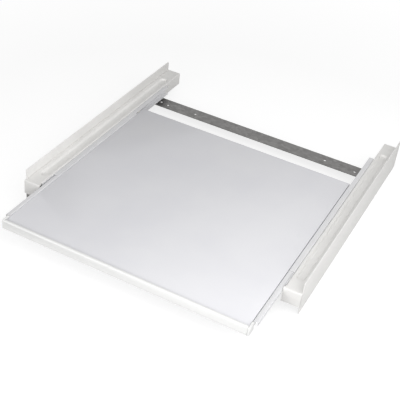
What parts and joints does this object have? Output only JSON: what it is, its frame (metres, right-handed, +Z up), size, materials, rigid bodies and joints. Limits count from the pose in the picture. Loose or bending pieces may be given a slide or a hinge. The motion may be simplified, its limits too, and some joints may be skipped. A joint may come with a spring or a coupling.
{
  "type": "washer dryer stacking kit",
  "caption": "White stacking kit that joins a dryer to the washing machine below: folded steel side rails, a rear tie bar and a pull-out shelf on roller runners.",
  "frame": {"origin": "middle of the kit, at the height of the side plates' lower edges", "axes": "+Z up, -Y towards the front, where the shelf pulls out, +X to the right as seen from the front"},
  "size_m": [0.6, 0.709, 0.073],
  "materials": {
    "white_powder_coat": "satin white powder coat on steel sheet",
    "white_epoxy": "smooth white epoxy coat on steel strip",
    "white_melamine": "fine grained white melamine face on board",
    "white_plastic": "satin moulded white plastic",
    "natural_nylon": "moulded natural nylon",
    "galvanised_steel": "dull galvanised steel strip",
    "zinc_plated_steel": "bright zinc plate"
  },
  "bodies": {
    "frame": {"side_plate_left": "white_powder_coat", "side_plate_right": "white_powder_coat", "ledge_channel_left": "white_powder_coat", "ledge_channel_right": "white_powder_coat", "fixed_runner_left": "white_epoxy", "fixed_runner_right": "white_epoxy", "rear_bar": "galvanised_steel", "front_axle_left": "zinc_plated_steel", "front_axle_right": "zinc_plated_steel", "bar_screw_1_left": "zinc_plated_steel", "bar_screw_1_right": "zinc_plated_steel", "bar_screw_2_left": "zinc_plated_steel", "bar_screw_2_right": "zinc_plated_steel", "runner_rivet_1_left": "zinc_plated_steel", "runner_rivet_1_right": "zinc_plated_steel", "runner_rivet_2_left": "zinc_plated_steel", "runner_rivet_2_right": "zinc_plated_steel", "runner_rivet_3_left": "zinc_plated_steel", "runner_rivet_3_right": "zinc_plated_steel"},
    "shelf": {"shelf_panel": "white_melamine", "front_moulding": "white_plastic", "end_cap_left": "white_plastic", "end_cap_right": "white_plastic", "drawer_runner_left": "white_epoxy", "drawer_runner_right": "white_epoxy", "rear_axle_left": "zinc_plated_steel", "rear_axle_right": "zinc_plated_steel", "shelf_screw_1_left": "zinc_plated_steel", "shelf_screw_1_right": "zinc_plated_steel", "shelf_screw_2_left": "zinc_plated_steel", "shelf_screw_2_right": "zinc_plated_steel", "shelf_screw_3_left": "zinc_plated_steel", "shelf_screw_3_right": "zinc_plated_steel"},
    "front_roller_left": {"front_roller_left": "natural_nylon"},
    "front_roller_right": {"front_roller_right": "natural_nylon"},
    "rear_roller_left": {"rear_roller_left": "natural_nylon"},
    "rear_roller_right": {"rear_roller_right": "natural_nylon"}
  },
  "joints": [
    {"name": "shelf_slide", "type": "slide", "parent": "frame", "child": "shelf", "axis": [0, -1, 0], "range_m": [-0.11, 0.26]},
    {"name": "front_roller_left_spin", "type": "hinge", "parent": "frame", "child": "front_roller_left", "pos_m": [-0.2589, -0.2055, 0.038], "axis": [1, 0, 0], "continuous": true},
    {"name": "rear_roller_left_spin", "type": "hinge", "parent": "shelf", "child": "rear_roller_left", "pos_m": [-0.2582, 0.1435, 0.0407], "axis": [1, 0, 0], "continuous": true},
    {"name": "front_roller_right_spin", "type": "hinge", "parent": "frame", "child": "front_roller_right", "pos_m": [0.2589, -0.2055, 0.038], "axis": [1, 0, 0], "continuous": true},
    {"name": "rear_roller_right_spin", "type": "hinge", "parent": "shelf", "child": "rear_roller_right", "pos_m": [0.2582, 0.1435, 0.0407], "axis": [1, 0, 0], "continuous": true}
  ],
  "couplings": [
    {"joint": "front_roller_left_spin", "follows": "shelf_slide", "rad_per_m": 102.04},
    {"joint": "rear_roller_left_spin", "follows": "shelf_slide", "rad_per_m": 120.48},
    {"joint": "front_roller_right_spin", "follows": "shelf_slide", "rad_per_m": 102.04},
    {"joint": "rear_roller_right_spin", "follows": "shelf_slide", "rad_per_m": 120.48}
  ]
}
